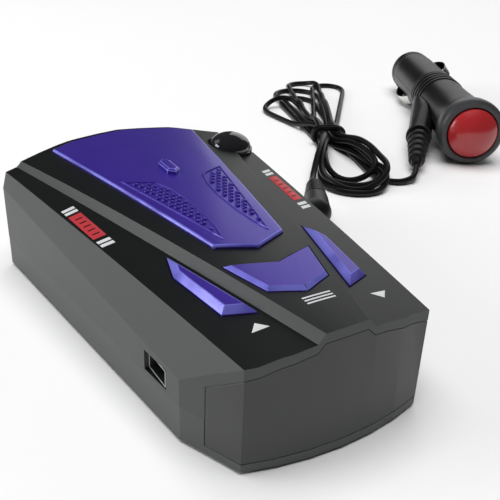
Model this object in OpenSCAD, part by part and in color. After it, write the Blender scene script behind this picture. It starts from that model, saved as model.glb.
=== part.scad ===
// Dashboard radar detector with a plugged-in 12 V supply cord.
// Origin: middle of the detector's footprint, on the surface it stands on.
// +Y points down the road (the arched end), -Y at the driver (display end).
// The cord and its 12 V plug lie on the same surface, on the +X side.

/* [Case] */
// Width of the case across its far corners
case_w = 70; // [69:0.5:71]
// Length of the case from the display lip to the top of the road-end arch
case_l = 109.6; // [109:0.1:110]
// How far the display lip bows out, low down, in front of its corners
lip_bow = 3.2; // [2.8:0.1:3.4]
// How far the display face bows out at its top
brow_bow = 1.2; // [1:0.1:1.4]
// Width of the display face
face_w = 41.2; // [40:0.1:42]
// Width of the case where the side walls meet the cheeks
cheek_w = 52.6; // [52:0.1:53]
// Thickness of the case walls
wall = 2; // [1.8:0.1:2.2]
// Height of the seam between the two halves
seam_z = 8.5; // [8.3:0.1:8.7]
// How far the rubber feet hold the case off the surface
foot_h = 0.6; // [0.4:0.1:0.8]
// Height of the shoulder surface on the centre line
shoulder_z = 28.18; // [27.9:0.01:28.5]
// Step from the shoulder up to the raised centre
bulge_h = 1.31; // [1.2:0.01:1.4]
// How far the violet panel and the menu button stand above the raised centre
panel_h = 0.8; // [0.6:0.1:0.9]

/* [Buttons] */
// Travel of the three top buttons
key_travel = 0.6; // [0.4:0.1:0.6]
// Clearance round a moving button
key_gap = 0.3; // [0.25:0.05:0.4]
// How far the two side buttons stand above the shoulder
side_key_h = 1.4; // [1.2:0.1:1.6]

/* [Boards] */
// Thickness of the circuit boards
board_t = 1.6; // [1.4:0.2:1.6]
// Underside of the main board
main_board_z = 8; // [7.9:0.1:8.1]
// Underside of the key board
key_board_z = 17.2; // [17:0.1:17.3]

/* [Supply cord] */
// Diameter of the cord
cord_d = 2.2; // [2:0.1:2.4]
// Height of the tied hank of cord
hank_h = 6.6; // [6:0.1:7]

/* [Supply plug] */
// Radius of the plug's switch head
head_r = 12.5; // [12.4:0.05:12.6]
// Radius of the plug's barrel
barrel_r = 10.1; // [10:0.05:10.2]
// Direction of the plug on the surface, from +X towards +Y
plug_turn = 60; // [59:0.5:61]
// Travel of the spring-loaded centre pin
pin_travel = 3; // [2:0.5:3]
// Travel of the red switch button
switch_travel = 1.5; // [1:0.1:1.6]

/* [Hidden] */
$fn = 48;

// ---- plan of the case -------------------------------------------------
half_w = case_w / 2;
corner_y = 45.2;          // far corner of the side wall
cheek_y = -39.4;          // where a side wall turns into its cheek
face_y = -52.5;           // where a cheek meets the display face
lip_y = face_y - lip_bow; // foremost point of the display lip
arch_y = lip_y + case_l;  // furthest point of the road-end arch
case_shift = -(lip_y + arch_y) / 2;
arch_sag = arch_y - corner_y;
arch_r = (half_w * half_w + arch_sag * arch_sag) / (2 * arch_sag);
arch_cy = arch_y - arch_r;
arch_a = asin(half_w / arch_r);
arch_steps = 12;
lip_r = (face_w * face_w / 4 + lip_bow * lip_bow) / (2 * lip_bow);
lip_cy = lip_y + lip_r;
lip_a = asin(face_w / 2 / lip_r);
lip_steps = 6;

case_plan = concat(
    [for (i = [0 : arch_steps])
        let (a = arch_a - 2 * arch_a * i / arch_steps)
        [arch_r * sin(a), arch_cy + arch_r * cos(a)]],
    [[-cheek_w / 2, cheek_y]],
    [for (i = [0 : lip_steps])
        let (a = -lip_a + 2 * lip_a * i / lip_steps)
        [lip_r * sin(a), lip_cy - lip_r * cos(a)]],
    [[cheek_w / 2, cheek_y]]
);

// Sets a case piece down so that the footprint is centred on the origin.
module on_case() { translate([0, case_shift, 0]) children(); }

// A plan moved inwards by d all round (outwards where d is negative).
// Its points run anticlockwise.
function unit(v) = v / norm(v);
function left_of(v) = [-v[1], v[0]];
function inset(p, d) = [
    for (i = [0 : len(p) - 1])
        let (n = len(p),
             a = left_of(unit(p[i] - p[(i + n - 1) % n])),
             b = left_of(unit(p[(i + 1) % n] - p[i])))
        p[i] + d * (a + b) / (1 + a * b)
];
function mirrored(p) = [for (i = [len(p) - 1 : -1 : 0]) [-p[i][0], p[i][1]]];

// ---- top surface ------------------------------------------------------
function slope_line(y, y0, x0, y1, x1) = x0 + (x1 - x0) * (y - y0) / (y1 - y0);
function edge_x(y) = slope_line(y, -52.5, 20.6, 43.3, 33.4);   // shoulder's outer edge
function wall_x(y) = slope_line(y, -39.4, 26.3, 45.8, 35.2);   // side wall
function wall_z(y) = slope_line(y, -39.4, 14.5, 45.8, 21.8);   // top of the side wall
function foot_x(y) = slope_line(y, -53.5, 6.4, 43.8, 29.7);    // foot of the raised centre
function mid_z(y) =
    let (t = y - 16.8) shoulder_z + 0.0336 * t - 0.472 * t * t / 2500;
function shoulder(x, y) = mid_z(y) - 0.086 * x;
function crown(x, y) = mid_z(y) + bulge_h - x * x / 300;
bulge_run = 1.6;          // run of the slope beside the raised centre
over = 1.6;               // how far the bevel is carried past the side wall

function half_section(y, dz) =
    let (foot = foot_x(y), edge = edge_x(y), side = wall_x(y),
         fall = (shoulder(edge, y) - wall_z(y)) / (side - edge))
    [[side + over, y, -5],
     [side + over, y, wall_z(y) - over * fall + dz],
     [edge, y, shoulder(edge, y) + dz],
     [foot, y, shoulder(foot, y) + dz],
     [foot - bulge_run, y, crown(foot - bulge_run, y) + dz],
     [(foot - bulge_run) / 2, y, crown((foot - bulge_run) / 2, y) + dz]];
function section(y, dz) =
    let (h = half_section(y, dz), n = len(h))
    concat(h, [[0, y, crown(0, y) + dz]],
           [for (i = [n - 1 : -1 : 0]) [-h[i][0], y, h[i][2]]]);
stations = [-57, -41, -25, -9, 7, 23, 39, 57];

// Everything below the top surface, moved up by dz.
module under_top(dz = 0) {
    rings = [for (y = stations) section(y, dz)];
    n = len(rings[0]);
    m = len(rings);
    polyhedron(
        points = [for (ring = rings) each ring],
        faces = concat(
            [[for (j = [n - 1 : -1 : 0]) j]],
            [[for (j = [0 : n - 1]) (m - 1) * n + j]],
            [for (i = [0 : m - 2]) for (j = [0 : n - 1]) each
                let (k = (j + 1) % n)
                [[i * n + j, i * n + k, (i + 1) * n + j],
                 [i * n + k, (i + 1) * n + k, (i + 1) * n + j]]]
        )
    );
}

module slab(plan, z0, z1) {
    translate([0, 0, z0]) linear_extrude(z1 - z0) polygon(plan);
}
// Everything behind the display face, which bows out less towards its top.
// The face is moved back by d.
brow_z = 24;
face_steps = 6;
module behind_face(d = 0) {
    top = brow_z + 12;
    fall = (lip_bow - brow_bow) * top / brow_z;
    row = [for (i = [0 : face_steps]) -1 + 2 * i / face_steps];
    function front(t, bow) = face_y - bow * (1 - t * t) + d;
    polyhedron(
        points = concat(
            [[-60, 60, 0]], [[-60, face_y + d, 0]],
            [for (t = row) [t * face_w / 2, front(t, lip_bow), 0]],
            [[60, face_y + d, 0]], [[60, 60, 0]],
            [[-60, 60, top]], [[-60, face_y + d, top]],
            [for (t = row) [t * face_w / 2, front(t, lip_bow - fall), top]],
            [[60, face_y + d, top]], [[60, 60, top]]
        ),
        faces = let (n = face_steps + 5) concat(
            [[for (j = [0 : n - 1]) j]],
            [[for (j = [n - 1 : -1 : 0]) n + j]],
            [for (j = [0 : n - 1]) each
                let (k = (j + 1) % n)
                [[j, n + j, k], [k, n + j, n + k]]]
        )
    );
}

module rod(x, y, z0, z1, r) {
    translate([x, y, z0]) cylinder(h = z1 - z0, r = r);
}
module block(x0, x1, y0, y1, z0, z1) {
    translate([x0, y0, z0]) cube([x1 - x0, y1 - y0, z1 - z0]);
}

// ---- plans of the pieces on top ----------------------------------------
panel_plan = [
    [8.6, -19.1], [20.8, 48], [14.2, 49.9], [7.2, 51], [0, 51.4],
    [-7.2, 51], [-14.2, 49.9], [-20.8, 48], [-8.6, -19.1], [0, -23.2]
];
menu_plan = [[10.2, -26.3], [0, -29.9], [-10.2, -26.3], [-7, -37.7], [0, -40.9], [7, -37.7]];
down_plan = [[16.9, -14.6], [10.6, -40.3], [16.7, -37.6], [18.9, -22]];
up_plan = mirrored(down_plan);
key_floor = 22.9;         // underside of the three button caps
window_front = [
    [-23.9, 2.4], [23.9, 2.4], [23.9, 15.8], [20.6, 20.8], [6.4, 22.6],
    [4.8, 24.2], [-4.8, 24.2], [-6.4, 22.6], [-20.6, 20.8], [-23.9, 15.8]
];
laser_front = [[-24, 11.5], [24, 11.5], [24, 17.5], [21, 20.5], [-21, 20.5], [-24, 17.5]];

// A front-view outline carried from y0 to y1.
module facing(outline, y0, y1) {
    translate([0, y1, 0]) rotate([90, 0, 0]) linear_extrude(y1 - y0) polygon(outline);
}

// ---- places inside -----------------------------------------------------
boss_at = [[29.6, 37.5], [-29.6, 37.5], [20.6, -40.8], [-20.6, -40.8]];
boss_r = 3.1;
post_at = [[22, 0], [-22, 0]];
standoff_at = [[9, -38], [-9, -38]];
tact_at = [[-14.4, -28.5], [0, -33], [14.4, -28.5]];
foot_at = [[20, 33], [-20, 33], [15, -33], [-15, -33]];
dome_at = [26.6, 36.2];
dome_r = 5.9;
dome_z = 27.1;            // rim of the dome
dome_h = 4.2;
jack_at = [31.6, 14, 12.4];
dc_face_x = 32.6;         // where the supply plug's moulding meets the case
usb_at = [-26.8, -30.8, 11.55];
board_top = main_board_z + board_t;
key_top = key_board_z + board_t;
plunger_z = 21.2;         // underside of the three plungers

// ---- route of the cord -------------------------------------------------
lead_route = [
    [60, 40.4, 8.2], [61.8, 43.4, 7.3], [63.8, 46.6, 6], [66.1, 50, 4.4],
    [68.8, 53.6, 2.9], [72, 57.4, 1.8], [75.6, 61.4, 1.4], [79.4, 65.4, 1.3],
    [83.2, 69.2, 1.3], [85.4, 71.6, 1.3]
];
tail_route = [
    [112.2, 49.3, 3.7], [110.1, 47.1, 3.2], [107.9, 45.1, 2.5], [105.4, 43.4, 1.8],
    [102.6, 42.4, 1.3], [99.8, 42.6, 1.2], [97.4, 44, 1.2], [95.6, 46, 1.2]
];
hank_waist = [103, 91];
hank_near = [86.5, 53];
hank_far = [138, 157];

// A tube of eight sides along a route; each ring stands square to it.
function heading(p, i) =
    unit(p[min(i + 1, len(p) - 1)] - p[max(i - 1, 0)]);
function ring(p, i, r) =
    let (t = heading(p, i), s = unit(cross(t, [0, 0, 1])), u = cross(s, t))
    [for (a = [22.5 : 45 : 359]) p[i] + r * (cos(a) * s + sin(a) * u)];
module tube(p, d) {
    m = len(p);
    polyhedron(
        points = [for (i = [0 : m - 1]) each ring(p, i, d / 2)],
        faces = concat(
            [[for (j = [7 : -1 : 0]) j]],
            [[for (j = [0 : 7]) (m - 1) * 8 + j]],
            [for (i = [0 : m - 2]) for (j = [0 : 7]) each
                let (k = (j + 1) % 8)
                [[i * 8 + j, i * 8 + k, (i + 1) * 8 + j],
                 [i * 8 + k, (i + 1) * 8 + k, (i + 1) * 8 + j]]]
        )
    );
}

// ---- the plug's own frame ----------------------------------------------
// Inside on_plug(), Z runs from the switch head to the tip, X points down
// and Y to the cord's side.
plug_at = [137.5, 48];
head_mid = 3;             // where the head's widest ring sits
tip_mid = 106;            // where the tip ring rests
tip_r = 9.9;
plug_tilt = asin((head_r - tip_r) / (tip_mid - head_mid));
axis_z = head_r / cos(plug_tilt) + head_mid * tan(plug_tilt) + 0.02;
module on_plug() {
    translate([plug_at[0], plug_at[1], axis_z])
        rotate([0, 0, plug_turn]) rotate([0, 90 + plug_tilt, 0]) children();
}
head_flare = [
    [12.1, 7], [11.7, 9], [11.2, 11.5], [10.8, 14.5], [10.45, 18.5],
    [10.2, 24], [10.05, 31], [10, 40], [10, 46]
];
rib_at = [46.6, 50.1, 53.6, 57.1];
rib_w = 2;
rib_r = 10.4;
groove_r = 9.5;
shell_profile = concat(
    [[9.4, 7]], head_flare,
    [for (z = rib_at) each
        [[groove_r, z], [rib_r, z + 0.3], [rib_r, z + rib_w - 0.3], [groove_r, z + rib_w]]],
    [[groove_r, 60.4], [barrel_r, 61], [barrel_r, 98], [9.8, 103], [7.2, 103], [7.2, 17.4], [9.4, 17.4]]
);
leaf_mid = 83.5;          // middle of a side contact
leaf_r = 16.5;
leaf_peak = 12.9;
leaf_t = 0.5;
leaf_w = 4.4;
leaf_half = 11;
leaf_turn = 38;           // the contacts sit turned this far round the barrel
slot_gap = 0.35;
neck_from = [1.5, 6.5, 50];
neck_to = [5.4, 16.6, 13.5];
boot_to = [9.2, 22.6, -11.5];

// Turns Z to run from one point to another, starting at the first.
module along(from, to) {
    v = to - from;
    translate(from) rotate([0, acos(v[2] / norm(v)), atan2(v[1], v[0])]) children();
}

// ======================= case ============================================
module lower_case() {
    color("#2b2c2e") on_case()
    difference() {
        union() {
            difference() {
                intersection() {
                    slab(case_plan, foot_h, seam_z);
                    behind_face();
                }
                intersection() {
                    slab(inset(case_plan, wall), foot_h + wall, seam_z + 1);
                    behind_face(wall);
                }
            }
            for (p = boss_at) rod(p[0], p[1], foot_h + 1, seam_z, boss_r);
            for (p = concat(post_at, standoff_at)) rod(p[0], p[1], foot_h + 1, main_board_z, 2.4);
        }
        facing(window_front, -60, -44);
        for (p = boss_at) {
            rod(p[0], p[1], 0, seam_z + 1, 1.3);
            rod(p[0], p[1], 0, 3.2, 2.6);
        }
        for (p = concat(post_at, standoff_at)) rod(p[0], p[1], 3.6, seam_z + 1, 1);
        for (p = foot_at) rod(p[0], p[1], 0, 1.4, 4.1);
    }
}

module upper_case() {
    color("#232425") on_case()
    difference() {
        union() {
            difference() {
                intersection() {
                    slab(case_plan, seam_z, 35);
                    under_top();
                    behind_face();
                }
                intersection() {
                    slab(inset(case_plan, wall), seam_z - 1, 35);
                    under_top(-wall);
                    behind_face(wall);
                }
            }
            for (p = boss_at) rod(p[0], p[1], seam_z, 16.8, boss_r);
        }
        for (p = boss_at) rod(p[0], p[1], seam_z - 1, 15, 1);
        // recess under the panel
        difference() {
            slab(inset(panel_plan, -0.1), 20, 40);
            under_top(-panel_h);
        }
        for (plan = [menu_plan, up_plan, down_plan]) slab(inset(plan, -key_gap), 20, 40);
        rod(dome_at[0], dome_at[1], 20, 40, 6.45);
        facing(window_front, -60, -44);
        facing(laser_front, 44, 60);
        translate([20, jack_at[1], jack_at[2]]) rotate([0, 90, 0]) cylinder(h = 20, r = 3.2);
        translate([usb_at[0] - 5, usb_at[1] - 4.1, usb_at[2] - 2.25]) cube([8, 8.2, 4.5]);
    }
}

module accent_panel() {
    color("#3a2fa0") on_case()
    intersection() {
        slab(panel_plan, 20, 40);
        difference() {
            under_top(panel_h);
            under_top(-panel_h);
        }
    }
}

module case_band(outline, y0, y1, gap) {
    difference() {
        intersection() {
            slab(case_plan, foot_h, 35);
            facing(inset(outline, gap), y0, y1);
            behind_face();
        }
        intersection() {
            slab(inset(case_plan, wall), 0.1, 34);
            behind_face(wall);
        }
    }
}

module display_window() {
    color("#3c3e41") on_case() case_band(window_front, -60, -44, 0.12);
}

module laser_window() {
    color("#1c0f12") on_case() case_band(laser_front, 44, 60, 0.12);
}

module dome_base() {
    color("#18191a") on_case()
    difference() {
        rod(dome_at[0], dome_at[1], 23.6, dome_z, 6.35);
        rod(dome_at[0], dome_at[1], 25.4, dome_z + 1, 5);
        rod(dome_at[0], dome_at[1], 23, dome_z + 1, 3.6);
    }
}

module dome_lens() {
    color("#101112") on_case()
    translate([dome_at[0], dome_at[1], dome_z])
    rotate_extrude()
        polygon(concat(
            [[0, dome_h - 0.9]],
            [for (a = [80 : -10 : 0]) [4.7 * cos(a), (dome_h - 0.9) * sin(a)]],
            [[dome_r, 0]],
            [for (a = [10 : 10 : 90]) [dome_r * cos(a), dome_h * sin(a)]]
        ));
}

module dome_sensor() {
    color("#3b2a55") on_case()
    union() {
        rod(dome_at[0], dome_at[1], 25.4, 26.4, 4.9);
        rod(dome_at[0], dome_at[1], 26.4, 27.6, 2.1);
        translate([dome_at[0], dome_at[1], 27.6]) sphere(r = 2.1);
    }
}

module button_cap(plan, rise) {
    color("#3a2fa0") on_case()
    intersection() {
        slab(plan, key_floor, 40);
        under_top(rise);
    }
}
module up_button() { button_cap(up_plan, side_key_h); }
module menu_button() { button_cap(menu_plan, panel_h); }
module down_button() { button_cap(down_plan, side_key_h); }

module plunger(i) {
    color("#d8d4c8") on_case() rod(tact_at[i][0], tact_at[i][1], plunger_z, key_floor, 1.75);
}
module up_plunger() { plunger(0); }
module menu_plunger() { plunger(1); }
module down_plunger() { plunger(2); }

module case_screws() {
    color("#8a8c90") on_case()
    for (p = boss_at)
        union() {
            rod(p[0], p[1], 1.5, 3.2, 2.3);
            rod(p[0], p[1], 3.2, 13.5, 0.95);
        }
}

module rubber_feet() {
    color("#161616") on_case()
    for (p = foot_at) rod(p[0], p[1], 0, 1.4, 4);
}

// ======================= electronics =====================================
module main_board() {
    color("#1d5b3a") on_case()
    difference() {
        intersection() {
            slab(inset(case_plan, wall + 0.9), main_board_z, board_top);
            block(-40, 40, -43.3, 47, 0, 20);
        }
        for (p = boss_at) rod(p[0], p[1], 5, 12, boss_r + 0.5);
        for (p = concat(post_at, standoff_at)) rod(p[0], p[1], 5, 12, 1.15);
    }
}

module key_board() {
    color("#1d5b3a") on_case()
    difference() {
        block(-19, 19, -41.5, -20, key_board_z, key_top);
        for (p = standoff_at) rod(p[0], p[1], 10, 20, 1.15);
    }
}

module display_board() {
    color("#1d5b3a") on_case() block(-16, 16, -45.7, -44.3, 3.2, 20);
}

module led_display() {
    color("#e9e6df") on_case()
    difference() {
        block(-11, 11, -49.3, -45.7, 5.6, 16.4);
        for (i = [-1 : 1]) block(i * 7 - 2.4, i * 7 + 2.4, -50, -48.6, 6.8, 15.2);
    }
}

module display_baffle() {
    color("#141414") on_case()
    difference() {
        block(-16, 16, -48.2, -45.7, 3.6, 19.4);
        block(-11.2, 11.2, -50, -45, 5.4, 16.6);
    }
}

module horn_antenna() {
    color("#a9abae") on_case()
    difference() {
        block(-21, 7, 14.2, 45, board_top, 23.4);
        hull() {
            block(-19.6, 5.6, 44.5, 46, board_top + 1.2, 22.2);
            block(-12, -2, 24, 24.5, board_top + 4, 19);
        }
        block(-12, -2, 15.6, 24.2, board_top + 4, 19);
    }
}

module mixer_can() {
    color("#c9cbce") on_case() block(-16, 2, 7.4, 14.2, board_top, 21.6);
}

module laser_sensor() {
    color("#2a2030") on_case()
    union() {
        block(13, 21, 38, 45, board_top, 19.6);
        translate([17, 48, 15.2]) rotate([90, 0, 0]) cylinder(h = 4, r = 3);
    }
}

module buzzer() {
    color("#151515") on_case()
    difference() {
        rod(-10, -7, board_top, 17, 6);
        rod(-10, -7, 15.4, 18, 1.3);
    }
}

module board_chips() {
    color("#1a1a1c") on_case() {
        block(3, 13, -20, -10, board_top, 11.2);
        block(-9, -3, -21, -16, board_top, 11.2);
        block(14, 19, 24, 32, board_top, 11.2);
    }
}

module capacitors() {
    color("#20242e") on_case() {
        rod(18, -8, board_top, 17, 3.1);
        rod(10, 2, board_top, 16.6, 3.1);
        rod(-25, 8, board_top, 16, 2.5);
    }
}

module pin_header() {
    color("#1b1b1b") on_case() block(-7.6, 7.6, -25.4, -22.9, board_top, key_board_z);
}

module tact_switches() {
    color("#232323") on_case()
    for (p = tact_at)
        difference() {
            block(p[0] - 3, p[0] + 3, p[1] - 3, p[1] + 3, key_top, 22.1);
            rod(p[0], p[1], plunger_z - key_travel - 0.2, 23, 1.85);
        }
}

module board_standoffs() {
    color("#b5923f") on_case()
    for (p = standoff_at)
        difference() {
            union() {
                rod(p[0], p[1], 4, board_top, 0.95);
                translate([p[0], p[1], board_top]) cylinder(h = key_board_z - board_top, r = 2.4, $fn = 6);
            }
            rod(p[0], p[1], 12, 18, 1);
        }
}

module small_screw(p, head_z, depth) {
    rod(p[0], p[1], head_z, head_z + 1.3, 1.9);
    rod(p[0], p[1], head_z - depth, head_z, 0.95);
}
module board_screws() {
    color("#8a8c90") on_case() for (p = post_at) small_screw(p, board_top, 5);
}
module key_board_screws() {
    color("#8a8c90") on_case() for (p = standoff_at) small_screw(p, key_top, 5);
}

module power_jack() {
    color("#1a1a1a") on_case()
    translate([jack_at[0], jack_at[1], jack_at[2]]) rotate([0, -90, 0])
    difference() {
        union() {
            translate([-2.8, -3.6, 2.6]) cube([5.6, 7.2, 8.4]);
            cylinder(h = 2.6, r = 2.7);
        }
        translate([0, 0, -1]) cylinder(h = 11, r = 1.85);
    }
}

module usb_socket() {
    color("#b9bbbe") on_case()
    translate(usb_at)
    difference() {
        translate([0, -3.85, -1.95]) cube([9, 7.7, 3.9]);
        translate([-1, -3.5, -1.6]) cube([9.4, 7, 3.2]);
    }
}

module usb_tongue() {
    color("#101010") on_case()
    translate(usb_at) translate([1, -2.6, 0.1]) cube([7.4, 5.2, 0.9]);
}

// ======================= cord ============================================
module dc_plug_sleeve() {
    color("#c6c8cb") on_case()
    translate([dc_face_x, jack_at[1], jack_at[2]]) rotate([0, -90, 0])
    difference() {
        cylinder(h = 9.5, r = 1.75);
        translate([0, 0, 0.5]) cylinder(h = 10, r = 0.7);
    }
}

boot_elbow = [42.5, jack_at[1] + case_shift, jack_at[2]];
boot_end = [60, 40.4, 8.2];
boot_len = norm(boot_end - boot_elbow);
module dc_plug_boot() {
    color("#1b1b1b")
    union() {
        translate([dc_face_x, boot_elbow[1], boot_elbow[2]]) rotate([0, 90, 0])
            cylinder(h = boot_elbow[0] - dc_face_x, r = 4.1);
        translate(boot_elbow) sphere(r = 4.1);
        along(boot_elbow, boot_end)
        rotate_extrude()
            polygon(concat(
                [[0, 0], [4, 0], [3.7, 12.5]],
                [for (i = [0 : 4]) each
                    let (z = 13 + 3.4 * i, r = 3.5 - 0.2 * i)
                    [[r - 0.9, z], [r - 0.9, z + 1], [r, z + 1.3], [r, z + 3]]],
                [[2, boot_len - 1.2], [1.7, boot_len], [0, boot_len]]
            ));
    }
}

module cord_lead() { color("#161616") tube(lead_route, cord_d); }
module cord_tail() { color("#161616") tube(tail_route, cord_d); }

module lobe(end, end_r, waist_r) {
    hull() {
        translate(end) circle(r = end_r, $fn = 32);
        translate(hank_waist) circle(r = waist_r, $fn = 32);
    }
}
module cord_hank() {
    color("#161616")
    linear_extrude(hank_h) {
        lobe(hank_near, 13.5, 6);
        lobe(hank_far, 17, 6);
    }
}

tie_turn = 67;
module cord_tie() {
    color("#101010")
    translate([hank_waist[0], hank_waist[1], 0]) rotate([0, 0, tie_turn])
    difference() {
        translate([-1.2, -7, 0]) cube([2.4, 14, hank_h + 1.2]);
        translate([-2, -6.2, -1]) cube([4, 12.4, hank_h + 1.05]);
    }
}

// ======================= 12 V plug =======================================
module plug_shell(side) {
    color("#1d1d1e")
    on_plug()
    difference() {
        intersection() {
            rotate_extrude() polygon(shell_profile);
            translate([side > 0 ? 0 : -20, -20, 0]) cube([20, 40, 120]);
        }
        rotate([0, 0, -leaf_turn]) for (s = [-1, 1])
            translate([-leaf_w / 2 - slot_gap, s * 9 - 5, leaf_mid - leaf_half - 1.5])
                cube([leaf_w + 2 * slot_gap, 10, 2 * leaf_half + 4]);
    }
}
module plug_shell_bottom() { plug_shell(1); }
module plug_shell_top() { plug_shell(-1); }

module plug_tip_ring() {
    color("#161617")
    on_plug()
    rotate_extrude()
        polygon([
            [6.9, 98.5], [7.1, 98.5], [7.1, 103.1], [9.9, 103.1], [9.9, 105.2], [9.3, 105.6],
            [9.3, 106.4], [9.8, 106.8], [9.8, 108.6], [9, 110.4], [7.2, 111.4], [3.5, 111.4],
            [3.5, 108.8], [6.2, 108.8], [6.2, 98.5]
        ]);
}

pin_flange_z = 103.6 + pin_travel;
module plug_centre_pin() {
    color("#c9cacc")
    on_plug()
    union() {
        translate([0, 0, pin_flange_z]) cylinder(h = 108.6 - pin_flange_z, r = 4.6);
        translate([0, 0, 108.6]) cylinder(h = 4.6, r = 3.3);
        translate([0, 0, 113.2]) cylinder(h = 1.8, r1 = 3.3, r2 = 1.6);
    }
}

module plug_fuse() {
    color("#cfd8dc")
    on_plug() translate([0, 0, pin_flange_z - 30]) cylinder(h = 30, r = 3.1);
}

spring_turns = 6;
spring_from = 56;
spring_len = 19.6;
spring_route = [for (i = [0 : spring_turns * 9])
    [2.5 * cos(40 * i), 2.5 * sin(40 * i), spring_from + 0.5 + spring_len * i / (spring_turns * 9)]];
module pin_spring() {
    color("#9a9ca0") on_plug() tube(spring_route, 0.8);
}

module contact_leaf(s) {
    color("#c6c8ca")
    on_plug()
    rotate([0, 0, -leaf_turn])
    translate([-leaf_w / 2, s * (leaf_peak - leaf_r), leaf_mid]) rotate([0, 90, 0])
    linear_extrude(leaf_w)
    intersection() {
        difference() {
            circle(r = leaf_r);
            circle(r = leaf_r - leaf_t);
        }
        translate([-leaf_half, s > 0 ? 0 : -20]) square([2 * leaf_half, 20]);
    }
}
module contact_left() { contact_leaf(1); }
module contact_right() { contact_leaf(-1); }

module switch_bezel() {
    color("#3a3b3d")
    on_plug()
    rotate_extrude()
        polygon([
            [9.5, 0.4], [10, 0], [11.2, 0], [12, 0.8], [head_r, 2.2], [head_r, 3.8],
            [12.15, 6.9], [9.5, 6.9]
        ]);
}

button_r = 9.2;
crown_h = 4.2;
cap_r = (button_r * button_r + crown_h * crown_h) / (2 * crown_h);
cap_a = asin(button_r / cap_r);
module switch_button() {
    color("#c4202a")
    on_plug()
    rotate_extrude()
        polygon(concat(
            [[7.9, 5], [7.9, 0.2], [0, -1.6]],
            [for (i = [0 : 8])
                let (a = cap_a * i / 8)
                [cap_r * sin(a), -0.4 - crown_h + cap_r * (1 - cos(a))]],
            [[button_r, 5]]
        ));
}

housing_z = 6.5 + switch_travel;
module switch_housing() {
    color("#202022")
    on_plug()
    difference() {
        translate([0, 0, housing_z]) cylinder(h = 17.2 - housing_z, r = 9.1);
        translate([0, 0, 7]) cylinder(h = 4, r = 1.6);
    }
}

module switch_led() {
    color("#e8d8d8")
    on_plug()
    union() {
        translate([0, 0, 3.2]) cylinder(h = 7.6, r = 1.5);
        translate([0, 0, 3.2]) sphere(r = 1.5);
    }
}

module plug_neck() {
    color("#1d1d1e")
    on_plug()
    difference() {
        hull() {
            translate(neck_from) sphere(r = 5.2, $fn = 32);
            translate(neck_from - [0, 0, 16]) translate([0.6, 3.2, 0]) sphere(r = 5, $fn = 32);
            along(neck_to, boot_to) translate([0, 0, -3]) cylinder(h = 3, r = 4.3, $fn = 32);
        }
        cylinder(h = 120, r = rib_r + 0.05);
        cylinder(h = 16, r = 12.6);
    }
}

cord_boot_len = norm(boot_to - neck_to);
module cord_boot() {
    color("#1b1b1b")
    on_plug()
    along(neck_to, boot_to)
    rotate_extrude()
        polygon(concat(
            [[0, 0], [5, 0], [5, 1.5], [3.4, 1.5]],
            [for (i = [0 : 4]) each
                let (z = 2.8 + 4.2 * i, r = 4.3 - 0.32 * i)
                [[r - 1.1, z], [r, z + 0.5], [r, z + 2.4], [r - 1.1, z + 2.9]]],
            [[1.9, cord_boot_len - 1], [1.6, cord_boot_len], [0, cord_boot_len]]
        ));
}

lower_case();
upper_case();
accent_panel();
display_window();
laser_window();
dome_base();
dome_lens();
dome_sensor();
up_button();
menu_button();
down_button();
up_plunger();
menu_plunger();
down_plunger();
tact_switches();
key_board();
main_board();
display_board();
led_display();
display_baffle();
horn_antenna();
mixer_can();
laser_sensor();
buzzer();
board_chips();
capacitors();
pin_header();
board_standoffs();
board_screws();
key_board_screws();
case_screws();
rubber_feet();
power_jack();
usb_socket();
usb_tongue();
dc_plug_sleeve();
dc_plug_boot();
cord_lead();
cord_hank();
cord_tie();
cord_tail();
cord_boot();
plug_neck();
plug_shell_top();
plug_shell_bottom();
plug_tip_ring();
plug_centre_pin();
plug_fuse();
pin_spring();
contact_left();
contact_right();
switch_bezel();
switch_button();
switch_housing();
switch_led();
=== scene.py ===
"""Looks of a dashboard radar detector with its 12 V supply cord.

The detector is a flat black case, widest at its arched road end, with a violet
top panel, three top keys, a smoked display window and a glossy sensor dome.
Its supply cord is folded into a tied hank and ends in a 12 V plug with a red
switch.
"""

import logging
import math
from dataclasses import dataclass
from enum import Enum
from typing import Callable, Iterator, Sequence

import bmesh
import bpy
from mathutils import Matrix, Vector
from mathutils.bvhtree import BVHTree


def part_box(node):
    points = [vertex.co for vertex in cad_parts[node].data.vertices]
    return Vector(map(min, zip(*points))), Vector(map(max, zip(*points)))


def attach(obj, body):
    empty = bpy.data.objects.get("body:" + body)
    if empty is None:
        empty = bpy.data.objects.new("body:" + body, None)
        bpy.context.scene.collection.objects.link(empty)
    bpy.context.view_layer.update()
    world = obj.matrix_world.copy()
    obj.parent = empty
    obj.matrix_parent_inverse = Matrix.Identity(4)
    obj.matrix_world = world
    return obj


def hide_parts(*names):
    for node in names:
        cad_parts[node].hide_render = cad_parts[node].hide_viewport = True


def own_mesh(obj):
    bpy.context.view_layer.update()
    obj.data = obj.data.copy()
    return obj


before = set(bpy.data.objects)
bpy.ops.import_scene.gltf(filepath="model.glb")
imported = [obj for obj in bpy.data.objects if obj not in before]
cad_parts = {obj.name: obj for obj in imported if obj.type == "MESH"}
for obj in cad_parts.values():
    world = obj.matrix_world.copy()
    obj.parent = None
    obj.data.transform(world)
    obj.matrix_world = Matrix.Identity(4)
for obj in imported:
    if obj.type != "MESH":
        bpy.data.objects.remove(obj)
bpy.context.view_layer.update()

LOG = logging.getLogger("detector")
MM = 0.001
CASE_SHIFT = 0.9          # how far the case stands forward of its own plan, in mm
ROOT = "detector"         # the body of everything that doesn't move
EDGE_HIGHLIGHT = "edge_highlight"             # the face attribute that marks rounded edges for the painted highlight
MOTTLE = 90.0             # spots per metre of the noise that mottles a colour
HIGHLIGHT_SPAN = (0.2, 0.55)   # how much of that noise it takes for the painted edge highlight to begin and to be full
MERGE_M = 2e-6            # corners nearer to each other than this are one, in metres
SLIVER_M = 1e-6           # edges shorter than this are taken out, in metres
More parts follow.
